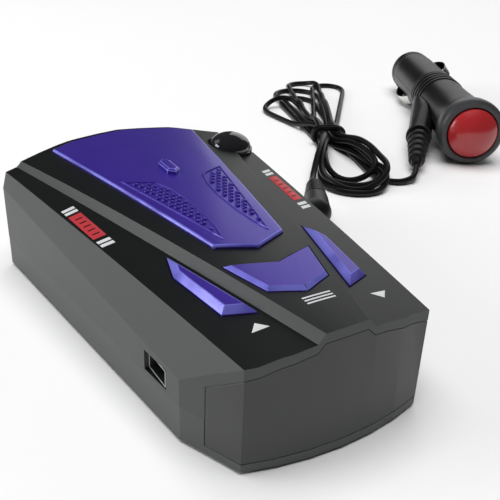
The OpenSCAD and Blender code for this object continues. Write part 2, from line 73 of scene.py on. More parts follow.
FLAT_DEGREES = 0.15       # faces that differ by less than this are one flat face
SMOOTH_DEGREES = 35.0     # edges sharper than this stay sharp
FACE_WEIGHT = 60          # how strongly large faces lead the shading
SKY_M = 0.1               # a height above every piece, in metres
UP = Vector((0, 0, 1))
Pair = tuple[float, float]
Triple = tuple[float, float, float]
Plan = Sequence[Pair]
Route = Sequence[Triple]


# ---------------------------------------------------------------- finishes
@dataclass(frozen=True)
class Finish:
    """A surface finish whose colour, gloss and grain all vary a little.

    The colour runs between two tones, the roughness varies by the spread, the
    grain is counted per metre and its depth is in mm.  The edge highlight share is
    how much of the lighter edge tone, a painted highlight, shows on rounded edges.
    """

    name: str
    colour: Triple
    mottled: Triple
    roughness: float
    spread: float = 0.08
    grain: float = 1500.0
    depth: float = 0.02
    metallic: float = 0.0
    coat: float = 0.0
    coat_roughness: float = 0.05
    ior: float = 1.5
    specular: float = 0.5
    # the lighter edge tone and its share paint a highlight on rounded edges, in patches
    edge_highlight: Triple = (0.2, 0.2, 0.2)
    edge_highlight_share: float = 0.0
    clear: float = 0.0
    brushed: Triple = (1.0, 1.0, 1.0)

    def material(self) -> bpy.types.Material:
        """Build the finish once and hand the same material out afterwards.

        Returns:
            The node material of this finish.
        """
        title = f"{self.name}_finish"
        known = bpy.data.materials.get(title)
        if known:
            return known
        made = bpy.data.materials.new(title)
        made.use_nodes = True
        nodes, links = made.node_tree.nodes, made.node_tree.links
        shader = nodes["Principled BSDF"]
        place = nodes.new("ShaderNodeTexCoord")
        stretch = nodes.new("ShaderNodeMapping")
        stretch.inputs["Scale"].default_value = self.brushed
        links.new(place.outputs["Object"], stretch.inputs["Vector"])
        fine = self._noise(nodes, links, stretch, self.grain, 4.0)
        broad = self._noise(nodes, links, stretch, MOTTLE, 3.0)
        self._colour(nodes, links, broad, shader)
        rough = nodes.new("ShaderNodeMapRange")
        rough.inputs["To Min"].default_value = max(self.roughness - self.spread, 0.02)
        rough.inputs["To Max"].default_value = min(self.roughness + self.spread, 1.0)
        links.new(broad.outputs["Fac"], rough.inputs["Value"])
        links.new(rough.outputs["Result"], shader.inputs["Roughness"])
        bump = nodes.new("ShaderNodeBump")
        bump.inputs["Strength"].default_value = 1.0
        bump.inputs["Distance"].default_value = self.depth * MM
        links.new(fine.outputs["Fac"], bump.inputs["Height"])
        links.new(bump.outputs["Normal"], shader.inputs["Normal"])
        for socket, value in (("Metallic", self.metallic), ("IOR", self.ior),
                              ("Specular IOR Level", self.specular), ("Coat Weight", self.coat),
                              ("Coat Roughness", self.coat_roughness),
                              ("Transmission Weight", self.clear)):
            shader.inputs[socket].default_value = value
        return made

    @staticmethod
    def _noise(nodes: bpy.types.Nodes, links: bpy.types.NodeLinks, place: bpy.types.Node,
               scale: float, detail: float) -> bpy.types.Node:
        """Add one noise texture on the object's own coordinates.

        Args:
            nodes: The material's nodes.
            links: The material's links.
            place: The mapping node that gives the coordinates.
            scale: Spots per metre.
            detail: Octaves of the noise.

        Returns:
            The noise node.
        """
        noise = nodes.new("ShaderNodeTexNoise")
        noise.inputs["Scale"].default_value = scale
        noise.inputs["Detail"].default_value = detail
        links.new(place.outputs["Vector"], noise.inputs["Vector"])
        return noise

    def _colour(self, nodes: bpy.types.Nodes, links: bpy.types.NodeLinks,
                broad: bpy.types.Node, shader: bpy.types.Node) -> None:
        """Mix the two tones, and lighten the rounded edges in patches, as a painted highlight.

        Args:
            nodes: The material's nodes.
            links: The material's links.
            broad: The broad noise that mottles the colour.
            shader: The shader to feed.
        """
        tone = nodes.new("ShaderNodeMix")
        tone.data_type = "RGBA"
        tone.inputs["A"].default_value = (*self.colour, 1.0)
        tone.inputs["B"].default_value = (*self.mottled, 1.0)
        links.new(broad.outputs["Fac"], tone.inputs["Factor"])
        result = tone
        if self.edge_highlight_share:
            # painted highlight: the faces that soften marked take the lighter edge tone, in patches
            # of the broad noise
            edge = nodes.new("ShaderNodeAttribute")
            edge.attribute_name = EDGE_HIGHLIGHT
            patches = nodes.new("ShaderNodeMapRange")
            patches.inputs["From Min"].default_value = HIGHLIGHT_SPAN[0]
            patches.inputs["From Max"].default_value = HIGHLIGHT_SPAN[1]
            patches.inputs["To Max"].default_value = self.edge_highlight_share
            links.new(broad.outputs["Fac"], patches.inputs["Value"])
            reach = nodes.new("ShaderNodeMath")
            reach.operation = "MULTIPLY"
            links.new(edge.outputs["Fac"], reach.inputs[0])
            links.new(patches.outputs["Result"], reach.inputs[1])
            result = nodes.new("ShaderNodeMix")
            result.data_type = "RGBA"
            result.inputs["B"].default_value = (*self.edge_highlight, 1.0)
            links.new(reach.outputs["Value"], result.inputs["Factor"])
            links.new(tone.outputs["Result"], result.inputs["A"])
        links.new(result.outputs["Result"], shader.inputs["Base Color"])


class Slot(Enum):
    """The finishes of the detector, named as in its record."""

    CASE_TOP = Finish("case_top", (0.0055, 0.0062, 0.0062), (0.0080, 0.0090, 0.0090), 0.36, 0.03,
                      3000, 0.0014, specular=0.42, edge_highlight_share=0.4, edge_highlight=(0.06, 0.06, 0.06))
    # mid grey like the upper case's sides: the black plastic painted lighter, as painted light on
    # the walls
    CASE_BOTTOM = Finish("case_bottom", (0.070, 0.074, 0.074), (0.082, 0.086, 0.086), 0.46, 0.05,
                         2200, 0.010, specular=0.4, edge_highlight_share=0.5, edge_highlight=(0.12, 0.12, 0.12))
    # its bright lavender edge tone paints the highlight on the key chamfers and the panel bar
    VIOLET_GLOSS = Finish("violet_gloss", (0.050, 0.024, 0.330), (0.062, 0.031, 0.400), 0.36, 0.03,
                          5200, 0.0008, metallic=0.4, coat=0.45, coat_roughness=0.16,
                          edge_highlight_share=0.9, edge_highlight=(0.27, 0.27, 0.95))
    WINDOW_SMOKE = Finish("window_smoke", (0.042, 0.043, 0.045), (0.048, 0.049, 0.051), 0.26, 0.03,
                          3000, 0.0012, specular=0.4, edge_highlight_share=0.4, edge_highlight=(0.12, 0.12, 0.13))
    LASER_DARK = Finish("laser_dark", (0.050, 0.006, 0.009), (0.030, 0.004, 0.006), 0.10, 0.03,
                        2600, 0.003, coat=1.0, clear=0.15)
    DOME_BLACK = Finish("dome_black", (0.010, 0.010, 0.012), (0.016, 0.015, 0.018), 0.07, 0.02,
                        2400, 0.0004, coat=1.0, coat_roughness=0.02)
    BOARD_GREEN = Finish("board_green", (0.020, 0.140, 0.060), (0.035, 0.190, 0.080), 0.35, 0.1,
                         900, 0.03, coat=0.4)
    CHIP_BLACK = Finish("chip_black", (0.016, 0.016, 0.018), (0.028, 0.028, 0.030), 0.55, 0.08,
                        2600, 0.02)
    ZINC_CAST = Finish("zinc_cast", (0.46, 0.47, 0.49), (0.56, 0.57, 0.59), 0.42, 0.1,
                       1500, 0.05, metallic=1.0)
    # darker than bare tin: painted shade, standing in for the shade in the socket's opening
    TIN_PLATE = Finish("tin_plate", (0.30, 0.30, 0.31), (0.38, 0.38, 0.39), 0.34, 0.08,
                       1500, 0.01, metallic=1.0)
    BRASS = Finish("brass", (0.60, 0.43, 0.16), (0.68, 0.50, 0.22), 0.3, 0.08,
                   1500, 0.01, metallic=1.0)
    SCREW_STEEL = Finish("screw_steel", (0.42, 0.43, 0.45), (0.50, 0.51, 0.53), 0.32, 0.08,
                         1800, 0.015, metallic=1.0)
    NICKEL = Finish("nickel", (0.72, 0.71, 0.69), (0.80, 0.79, 0.77), 0.18, 0.05,
                    1400, 0.006, metallic=1.0, brushed=(1.0, 1.0, 0.2))
    FOOT_RUBBER = Finish("foot_rubber", (0.018, 0.018, 0.018), (0.03, 0.03, 0.03), 0.8, 0.08,
                         1600, 0.06)
    CORD_PVC = Finish("cord_pvc", (0.0045, 0.0045, 0.005), (0.008, 0.008, 0.009), 0.34, 0.06,
                      1400, 0.006, specular=0.28)
    BOOT_PVC = Finish("boot_pvc", (0.005, 0.005, 0.0055), (0.009, 0.009, 0.010), 0.42, 0.06,
                      1800, 0.008, specular=0.35, edge_highlight_share=0.4, edge_highlight=(0.07, 0.07, 0.07))
    PLUG_BLACK = Finish("plug_black", (0.0045, 0.0045, 0.005), (0.0075, 0.0075, 0.0085), 0.34, 0.05,
                        2200, 0.004, specular=0.22, edge_highlight_share=0.5, edge_highlight=(0.08, 0.08, 0.08))
    BEZEL_GREY = Finish("bezel_grey", (0.040, 0.041, 0.044), (0.048, 0.049, 0.052), 0.34, 0.05,
                        2200, 0.004, specular=0.4, edge_highlight_share=0.4, edge_highlight=(0.11, 0.11, 0.11))
    SWITCH_RED = Finish("switch_red", (0.42, 0.020, 0.024), (0.50, 0.030, 0.034), 0.24, 0.04,
                        1400, 0.0015, coat=0.35, clear=0.1)
    FUSE_GLASS = Finish("fuse_glass", (0.80, 0.85, 0.86), (0.84, 0.88, 0.89), 0.05, 0.02,
                        800, 0.002, clear=0.9)
    LED_WHITE = Finish("led_white", (0.80, 0.78, 0.74), (0.86, 0.84, 0.80), 0.4, 0.06,
                       1500, 0.01)
    KEY_IVORY = Finish("key_ivory", (0.74, 0.71, 0.64), (0.80, 0.77, 0.70), 0.45, 0.06,
                       1500, 0.015)


# the upper case's slopes and sides: the top's black plastic painted lighter, as painted light from
# the left
CASE_SIDE_PAINTED_LIGHT = Finish("case_side_painted_light", (0.060, 0.065, 0.064), (0.070, 0.075, 0.074), 0.46, 0.05,
                   2200, 0.010, specular=0.4, edge_highlight_share=0.5, edge_highlight=(0.12, 0.12, 0.12))
MARK_WHITE = Finish("mark_white", (0.62, 0.63, 0.64), (0.70, 0.71, 0.72), 0.5, 0.05, 2600, 0.006)
MARK_RED = Finish("mark_red", (0.44, 0.030, 0.040), (0.52, 0.045, 0.055), 0.45, 0.05, 2600, 0.006)
FLOOR_WHITE = Finish("floor_white", (0.92, 0.92, 0.92), (0.93, 0.93, 0.93), 0.9, 0.04, 60, 0.01)

NODE_SLOTS: dict[Slot, tuple[str, ...]] = {
    Slot.BOARD_GREEN: ("main_board", "key_board", "display_board"),
    Slot.CHIP_BLACK: ("tact_switches", "display_baffle", "laser_sensor", "buzzer", "board_chips",
                      "capacitors", "power_jack", "switch_housing"),
    Slot.KEY_IVORY: ("up_plunger", "menu_plunger", "down_plunger"),
    Slot.LED_WHITE: ("dome_sensor", "led_display", "switch_led"),
    Slot.ZINC_CAST: ("horn_antenna",),
    Slot.TIN_PLATE: ("mixer_can",),
    Slot.BRASS: ("pin_header", "board_standoffs"),
    Slot.SCREW_STEEL: ("board_screws", "key_board_screws"),
    Slot.NICKEL: ("dc_plug_sleeve",),
    Slot.FUSE_GLASS: ("plug_fuse",),
}


# ------------------------------------------------------------ mesh helpers
def add_object(name: str, mesh: bpy.types.Mesh, finish: Finish) -> bpy.types.Object:
    """Link a mesh as a piece at the origin, in one finish.

    Args:
        name: The piece's name.
        mesh: Its mesh, already in place.
        finish: Its finish.

    Returns:
        The new object.
    """
    piece = bpy.data.objects.new(name, mesh)
    bpy.context.scene.collection.objects.link(piece)
    mesh.materials.clear()
    mesh.materials.append(finish.material())
    return piece


def settle(piece: bpy.types.Object, slot: Slot, body: str, *nodes: str) -> bpy.types.Object:
    """Let a piece ride on a body and stand for CAD nodes.

    Args:
        piece: The finished piece.
        slot: Not used.
        body: The body it rides on.
        *nodes: The CAD nodes that it replaces, if any.

    Returns:
        The same piece.
    """
    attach(piece, body)
    if nodes:
        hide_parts(*nodes)
    LOG.info("%s rides on %s", piece.name, body)
    return piece


def mesh_from(bm: bmesh.types.BMesh, name: str,
              smooth_angle: float = SMOOTH_DEGREES) -> bpy.types.Mesh:
    """Turn a bmesh into a mesh that is smooth up to an angle.

    Args:
        bm: The bmesh, freed afterwards.
        name: The mesh's name.
        smooth_angle: Edges sharper than this stay sharp, in degrees.

    Returns:
        The mesh.
    """
    mesh = bpy.data.meshes.new(name)
    bm.to_mesh(mesh)
    bm.free()
    mesh.polygons.foreach_set("use_smooth", [True] * len(mesh.polygons))
    mesh.set_sharp_from_angle(angle=math.radians(smooth_angle))
    return mesh


def moulded(name: str, bm: bmesh.types.BMesh, slot: Slot, *nodes: str,
            smooth_angle: float = SMOOTH_DEGREES) -> bpy.types.Object:
    """Make a still piece out of a bmesh: its mesh, its finish and its ride.

    Args:
        name: The piece's name.
        bm: Its shape, freed afterwards.
        slot: The slot that its finish comes from.
        *nodes: The CAD nodes that it replaces, if any.
        smooth_angle: Edges sharper than this stay sharp, in degrees.

    Returns:
        The finished piece.
    """
    piece = add_object(name, mesh_from(bm, name, smooth_angle), slot.value)
    return settle(piece, slot, ROOT, *nodes)


def merged_copy(node: str) -> bmesh.types.BMesh:
    """Copy a CAD node's loose triangles into one closed skin with flat faces.

    Args:
        node: The node's name.

    Returns:
        The merged copy.
    """
    bm = bmesh.new()
    bm.from_mesh(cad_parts[node].data)
    bmesh.ops.remove_doubles(bm, verts=bm.verts, dist=MERGE_M)
    bmesh.ops.dissolve_limit(bm, angle_limit=math.radians(FLAT_DEGREES), verts=bm.verts,
                             edges=bm.edges)
    bmesh.ops.dissolve_degenerate(bm, edges=bm.edges, dist=SLIVER_M)
    return bm


def soften(bm: bmesh.types.BMesh, width: float, segments: int = 2, angle: float = 28.0,
           pick: Callable[[bmesh.types.BMEdge], bool] = lambda edge: True) -> None:
    """Round off the edges of a skin that are sharper than an angle.

    Args:
        bm: The skin.
        width: Width of the round, in mm.
        segments: Faces across the round.
        angle: The least angle that is rounded, in degrees.
        pick: Which of those edges are rounded.
    """
    least = math.radians(angle)
    edge_highlight = bm.faces.layers.float.get(EDGE_HIGHLIGHT) or bm.faces.layers.float.new(EDGE_HIGHLIGHT)
    edges = [e for e in bm.edges if e.is_manifold and e.calc_face_angle(0.0) > least and pick(e)]
    made = bmesh.ops.bevel(bm, geom=edges, offset=width * MM, offset_type="OFFSET",
                           segments=segments, profile=0.5, affect="EDGES", clamp_overlap=True,
                           harden_normals=False)
    # mark the rounds, which the finish paints with its edge highlight
    for face in made["faces"]:
        face[edge_highlight] = 1.0
    bmesh.ops.dissolve_degenerate(bm, edges=bm.edges, dist=SLIVER_M)


@dataclass
class Casting:
    """A CAD node carried over as a clean skin with rounded edges."""

    node: str
    slot: Slot
    round_mm: float
    body: str = ROOT
    segments: int = 2
    angle: float = 28.0

    def shape(self) -> bmesh.types.BMesh:
        """Round the edges of the node's skin.

        Returns:
            The rounded skin.
        """
        bm = merged_copy(self.node)
        soften(bm, self.round_mm, self.segments, self.angle)
        return bm

    def build(self) -> bpy.types.Object:
        """Make the piece, with large faces that shade flat, and let it stand for its node.

        Returns:
            The finished piece.
        """
        mesh = mesh_from(self.shape(), self.node)
        piece = add_object(f"{self.node}_skin", mesh, self.slot.value)
        weigh = piece.modifiers.new("weighted_shading", "WEIGHTED_NORMAL")
        weigh.keep_sharp = True
        weigh.weight = FACE_WEIGHT
        return settle(piece, self.slot, self.body, self.node)


@dataclass
class PaintedLightCasting(Casting):
    """A skin whose flat top is polished and whose slopes and sides are satin and painted lighter,
    as painted light from the side.
    """

    level: float = 0.93

    def build(self) -> bpy.types.Object:
        """Make the skin and give the slopes and sides a lighter finish than the top, as painted
        light.

        Returns:
            The finished piece.
        """
        piece = super().build()
        piece.data.materials.append(CASE_SIDE_PAINTED_LIGHT.material())
        for face in piece.data.polygons:
            face.material_index = 0 if face.normal.z > self.level else 1
        return piece


@dataclass
class KeyCap(Casting):
    """A key cap with a wide flat chamfer round its top and small rounds elsewhere."""

    angle: float = 25.0
    chamfer: float = 1.2
    rim_angle: float = 40.0
    top_tilt: float = 0.85
    side_tilt: float = 0.4

    def _on_rim(self, edge: bmesh.types.BMEdge) -> bool:
        """Whether an edge lies between the top and a side."""
        tilts = sorted(face.normal.z for face in edge.link_faces)
        return tilts[1] > self.top_tilt and abs(tilts[0]) < self.side_tilt

    def shape(self) -> bmesh.types.BMesh:
        """Cut the chamfer, then round what is left.

        Returns:
            The shaped skin.
        """
        bm = merged_copy(self.node)
        # the chamfer is marked for the painted edge highlight
        soften(bm, self.chamfer, 1, self.rim_angle, self._on_rim)
        soften(bm, self.round_mm, self.segments, self.angle)
        return bm


class Surface:
    """The top skin of a CAD node, for laying marks and beads on it."""

    def __init__(self, node: str) -> None:
        """Read the node's triangles.

        Args:
            node: The node's name.
        """
        bm = bmesh.new()
        bm.from_mesh(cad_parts[node].data)
        self.tree = BVHTree.FromBMesh(bm)
        bm.free()

    def height(self, x: float, y: float) -> float:
        """Height of the skin over a spot, in mm.

        Args:
            x: Across the case, in mm.
            y: Along the case, in mm.

        Returns:
            The height in mm.
        """
        hit = self.tree.ray_cast(Vector((x * MM, y * MM, SKY_M)), -UP)[0]
        if hit is None:
            raise ValueError(f"nothing lies under {x}, {y}")
        return hit.z / MM


def sides(loop: Sequence) -> Iterator[tuple]:
    """Each member of a closed loop with the one after it, in order."""
    return zip(loop, [*loop[1:], loop[0]])


def bridge(bm: bmesh.types.BMesh, low: Sequence, high: Sequence) -> None:
    """Join two closed rings of as many corners by a band of faces.

    Args:
        bm: The skin that both rings are in.
        low: Corners of the first ring.
        high: Corners of the second ring.
    """
    for (here, after), (above, above_after) in zip(sides(low), sides(high)):
        bm.faces.new((here, after, above_after, above))


def side_counts(plan: Plan, step: float) -> list[int]:
    """How many pieces of about one step each side of an outline is cut into."""
    return [max(1, round(math.dist(a, b) / step)) for a, b in sides(plan)]


def cut_sides(plan: Plan, counts: Sequence[int]) -> list[Pair]:
    """Cut the sides of an outline, so that it can follow a curved skin.

    Args:
        plan: The outline.
        counts: How many pieces each side is cut into.

    Returns:
        The finer outline.
    """
    return [(x0 + (x1 - x0) * i / count, y0 + (y1 - y0) * i / count)
            for ((x0, y0), (x1, y1)), count in zip(sides(plan), counts) for i in range(count)]


def inside(plan: Plan, x: float, y: float) -> bool:
    """Whether a spot lies within a closed outline.

    Args:
        plan: The outline's corners.
        x: Spot across.
        y: Spot along.

    Returns:
        True inside.
    """
    hit = False
    for (x0, y0), (x1, y1) in sides(plan):
        if (y0 > y) != (y1 > y) and x < x0 + (x1 - x0) * (y - y0) / (y1 - y0):
            hit = not hit
    return hit


def grown(plan: Plan, by: float) -> list[Pair]:
    """Move an anticlockwise outline outwards.

    Args:
        plan: The outline.
        by: How far, in the outline's own units.

    Returns:
        The new outline.
    """
    points = [Vector(p) for p in plan]
    result = []
    for before, here, after in zip([points[-1], *points], points, [*points[1:], points[0]]):
        one, two = (here - before).normalized(), (after - here).normalized()
        out_one, out_two = Vector((one.y, -one.x)), Vector((two.y, -two.x))
        moved = here + by * (out_one + out_two) / max(1 + out_one.dot(out_two), 0.3)
        result.append((moved.x, moved.y))
    return result


def laid_plate(surface: Surface, plan: Plan, sink: float, rise: float, edge: float,
               step: float = 1.2) -> bmesh.types.BMesh:
    """A thin plate with a chamfered rim that follows a skin.

    Args:
        surface: The skin it lies on.
        plan: Its outline, anticlockwise, in mm.
        sink: How deep it reaches into the skin, in mm.
        rise: How far it stands proud, in mm.
        edge: Width of its chamfer, in mm.
        step: Longest piece of the rim between two points, in mm.

    Returns:
        The closed plate.
    """
    def ring(points: Plan, lift: float) -> list[bmesh.types.BMVert]:
        """Place one ring of points over the skin."""
        return [bm.verts.new((x * MM, y * MM, (surface.height(x, y) + lift) * MM))
                for x, y in points]

    counts = side_counts(plan, step)
    bm = bmesh.new()
    outer, inner = cut_sides(plan, counts), cut_sides(grown(plan, -edge), counts)
    shoulder = rise - min(edge, rise) * 0.6
    rings = [ring(outer, -sink), ring(outer, shoulder), ring(inner, rise)]
    for low, high in zip(rings, rings[1:]):
        bridge(bm, low, high)
    bm.faces.new(list(reversed(rings[0])))
    bm.faces.new(rings[-1])
    bmesh.ops.triangulate(bm, faces=[f for f in bm.faces if len(f.verts) > 4])
    bmesh.ops.recalc_face_normals(bm, faces=bm.faces)
    return bm


def frame_ring(surface: Surface, plan: Plan, width: float, sink: float,
               rise: float) -> bmesh.types.BMesh:
    """A raised line that runs round an outline and follows a skin.

    Args:
        surface: The skin it stands on.
        plan: Its middle line, anticlockwise, in mm.
        width: Width of the line, in mm.
        sink: How deep its foot reaches, in mm.
        rise: Height of its crest, in mm.

    Returns:
        The closed ring.
    """
    bm = bmesh.new()
    foot, shoulder, crest = width / 2, rise * 0.4, width / 5
    rows = [[bm.verts.new((x * MM, y * MM, (surface.height(x, y) + lift) * MM))
             for x, y in grown(plan, by)]
            for by, lift in ((-foot, -sink), (-foot, shoulder), (-crest, rise),
                             (crest, rise), (foot, shoulder), (foot, -sink))]
    for low, high in sides(rows):
        bridge(bm, low, high)
    bmesh.ops.recalc_face_normals(bm, faces=bm.faces)
    return bm


def turned(profile: Plan, place: Matrix, steps: int = 72) -> bmesh.types.BMesh:
    """Turn a closed profile round the Z axis of a place.

    Args:
        profile: Radius and height pairs, in mm, from axis to axis or as a loop.
        place: Where the axis stands, in metres.
        steps: Points round.

    Returns:
        The turned skin.
    """
    bm = bmesh.new()
    rings = []
    for radius, height in profile:
        if radius < 1e-6:
            rings.append([bm.verts.new((0, 0, height * MM))])
            continue
        rings.append([bm.verts.new((radius * MM * math.cos(a), radius * MM * math.sin(a),
                                    height * MM))
                      for a in (math.tau * i / steps for i in range(steps))])
    loop = profile[0][0] > 1e-6
    pairs = list(zip(rings, rings[1:])) + ([(rings[-1], rings[0])] if loop else [])
    for one, two in pairs:
        for i in range(steps):
            j = (i + 1) % steps
            corners = [one[i % len(one)], one[j % len(one)], two[j % len(two)], two[i % len(two)]]
            corners = [c for k, c in enumerate(corners) if c not in corners[:k]]
            if len(corners) > 2:
                bm.faces.new(corners)
    bmesh.ops.recalc_face_normals(bm, faces=bm.faces)
    bm.transform(place)
    return bm


# --------------------------------------------------------- repeated pieces
class Repeat:
    """A geometry-node pattern that sets one small shape on every point."""

    SEED = 7

    def __init__(self, name: str, shape: bpy.types.Object, finish: Finish) -> None:
        """Build the tree.

        Args:
            name: The tree's name.
            shape: The small shape, modelled round the origin.
            finish: The finish of all copies.
        """
        self.shape, self.finish = shape, finish
        tree = bpy.data.node_groups.new(name, "GeometryNodeTree")
        face = tree.interface
        face.new_socket("Points", in_out="INPUT", socket_type="NodeSocketGeometry")
        size = face.new_socket("Size", in_out="INPUT", socket_type="NodeSocketFloat")
        turn = face.new_socket("Turn", in_out="INPUT", socket_type="NodeSocketFloat")
        face.new_socket("Pieces", in_out="OUTPUT", socket_type="NodeSocketGeometry")
        size.default_value = 1.0
        self.size_id, self.turn_id = size.identifier, turn.identifier
        add, link = tree.nodes.new, tree.links.new
        start, end = add("NodeGroupInput"), add("NodeGroupOutput")
        source = add("GeometryNodeObjectInfo")
        source.inputs["Object"].default_value = shape
        spin = add("FunctionNodeRandomValue")
        spin.data_type = "FLOAT"
        spin.inputs["Seed"].default_value = self.SEED
        link(start.outputs["Turn"], spin.inputs[3])
        angles = add("ShaderNodeCombineXYZ")
        link(spin.outputs[1], angles.inputs["Z"])
        aim = add("GeometryNodeInputNamedAttribute")
        aim.data_type = "FLOAT_VECTOR"
        aim.inputs["Name"].default_value = "aim"
        align = add("FunctionNodeAlignRotationToVector")
        align.axis = "Z"
        link(aim.outputs["Attribute"], align.inputs["Vector"])
        scatter = add("GeometryNodeInstanceOnPoints")
        link(start.outputs["Points"], scatter.inputs["Points"])
        link(source.outputs["Geometry"], scatter.inputs["Instance"])
        link(align.outputs["Rotation"], scatter.inputs["Rotation"])
        link(start.outputs["Size"], scatter.inputs["Scale"])
        twist = add("GeometryNodeRotateInstances")
        link(scatter.outputs["Instances"], twist.inputs["Instances"])
        link(angles.outputs["Vector"], twist.inputs["Rotation"])
        real = add("GeometryNodeRealizeInstances")
        dress = add("GeometryNodeSetMaterial")
        dress.inputs["Material"].default_value = finish.material()
        link(twist.outputs["Instances"], real.inputs["Geometry"])
        link(real.outputs["Geometry"], dress.inputs["Geometry"])
        link(dress.outputs["Geometry"], end.inputs["Pieces"])
        self.tree = tree

    def spread(self, name: str, seats: Sequence[tuple[Vector, Vector]],
               size: float = 1.0, turn: float = 0.0) -> bpy.types.Object:
        """Set the shape on points and keep the result as a plain mesh.

        Args:
            name: The new piece's name.
            seats: Where each copy stands and which way it points, in metres.
            size: How large each copy is against the shape.
            turn: The most that a copy is turned at random, in radians.

        Returns:
            The finished piece, which rides on nothing yet.
        """
        points = bpy.data.meshes.new(f"{name}_seats")
        points.from_pydata([tuple(p) for p, _ in seats], [], [])
        aims = points.attributes.new("aim", "FLOAT_VECTOR", "POINT")
        aims.data.foreach_set("vector", [c for _, aim in seats for c in aim])
        holder = bpy.data.objects.new(f"{name}_seats", points)
        bpy.context.scene.collection.objects.link(holder)
        pattern = holder.modifiers.new("repeat", "NODES")
        pattern.node_group = self.tree
        pattern[self.size_id] = size
        pattern[self.turn_id] = turn
        graph = bpy.context.evaluated_depsgraph_get()
        mesh = bpy.data.meshes.new_from_object(holder.evaluated_get(graph))
        holder.modifiers.remove(pattern)
        bpy.data.objects.remove(holder)
        return add_object(name, mesh, self.finish)

    def drop_shape(self) -> None:
        """Remove the small shape once every pattern is made."""
        bpy.data.objects.remove(self.shape)


# ------------------------------------------------------------------ studio
@dataclass(frozen=True)
class SoftBox:
    """A square soft box; its places and its side are in metres, its power in watts."""

    name: str
    at: Triple
    to: Triple
    side: float
    power: float
    mirrored: bool = True

    def hang(self) -> None:
        """Hang the box over the set and turn it to what it lights."""
        data = bpy.data.lights.new(self.name, "AREA")
        data.shape, data.size, data.energy = "SQUARE", self.side, self.power
        lamp = bpy.data.objects.new(self.name, data)
        lamp.location = self.at
        lamp.visible_glossy = self.mirrored
        ahead = Vector(self.to) - Vector(self.at)
        lamp.rotation_euler = ahead.to_track_quat("-Z", "Y").to_euler()
        bpy.context.scene.collection.objects.link(lamp)


@dataclass
class Studio:
    """The camera, with its eye in mm and its angles in degrees, the floor and the lights."""

    eye: Triple = (-73.3, -136.6, 96.5)
    yaw: float = 31.88
    pitch: float = 27.0
    roll: float = 2.33
    lens: float = 53.29
    sensor: float = 36.0
    nearest_m: float = 0.01
    floor_m: float = 6.0
    surround: float = 0.05
    boxes: tuple[SoftBox, ...] = (
        SoftBox("overhead", (-0.10, 0.10, 2.3), (0, 0.1, 0), 2.2, 59.0, mirrored=False),
        SoftBox("far_right", (0.95, 0.75, 0.53), (0.03, 0.0, 0.0), 0.90, 2.2),
        SoftBox("far_left", (-0.60, 0.88, 0.80), (0.0, 0.0, 0.0), 0.55, 0.7),
        SoftBox("left", (-0.92, 0.46, 0.38), (0.0, 0.0, 0.01), 0.5, 4.2))

    def place_camera(self) -> None:
        """Set the camera low in front of the detector's left corner."""
        yaw, pitch, roll = (math.radians(v) for v in (self.yaw, self.pitch, self.roll))
        ahead = Vector((math.sin(yaw) * math.cos(pitch), math.cos(yaw) * math.cos(pitch),
                        -math.sin(pitch)))
        level = Vector((math.cos(yaw), -math.sin(yaw), 0.0))
        upright = level.cross(ahead)
        right = math.cos(roll) * level + math.sin(roll) * upright
        up = -math.sin(roll) * level + math.cos(roll) * upright
        data = bpy.data.cameras.new("camera")
        data.lens, data.sensor_width, data.clip_start = self.lens, self.sensor, self.nearest_m
        camera = bpy.data.objects.new("camera", data)
        turn = Matrix((right, up, -ahead)).transposed().to_4x4()
        camera.matrix_world = Matrix.Translation(Vector(self.eye) * MM) @ turn
        bpy.context.scene.collection.objects.link(camera)
        bpy.context.scene.camera = camera

    def lay_floor(self) -> None:
        """Lay a plain pale floor under the whole set."""
        bm = bmesh.new()
        bmesh.ops.create_grid(bm, x_segments=12, y_segments=12, size=self.floor_m / 2)
        add_object("floor", mesh_from(bm, "floor"), FLOOR_WHITE)

    def light(self) -> None:
        """Hang the soft boxes and set a quiet surround."""
        for box in self.boxes:
            box.hang()
        world = bpy.data.worlds.new("surround")
        world.use_nodes = True
        surround = world.node_tree.nodes["Background"]
        surround.inputs["Color"].default_value = (1.0, 1.0, 1.0, 1.0)
        surround.inputs["Strength"].default_value = self.surround
        bpy.context.scene.world = world
        bpy.context.scene.view_settings.view_transform = "Standard"


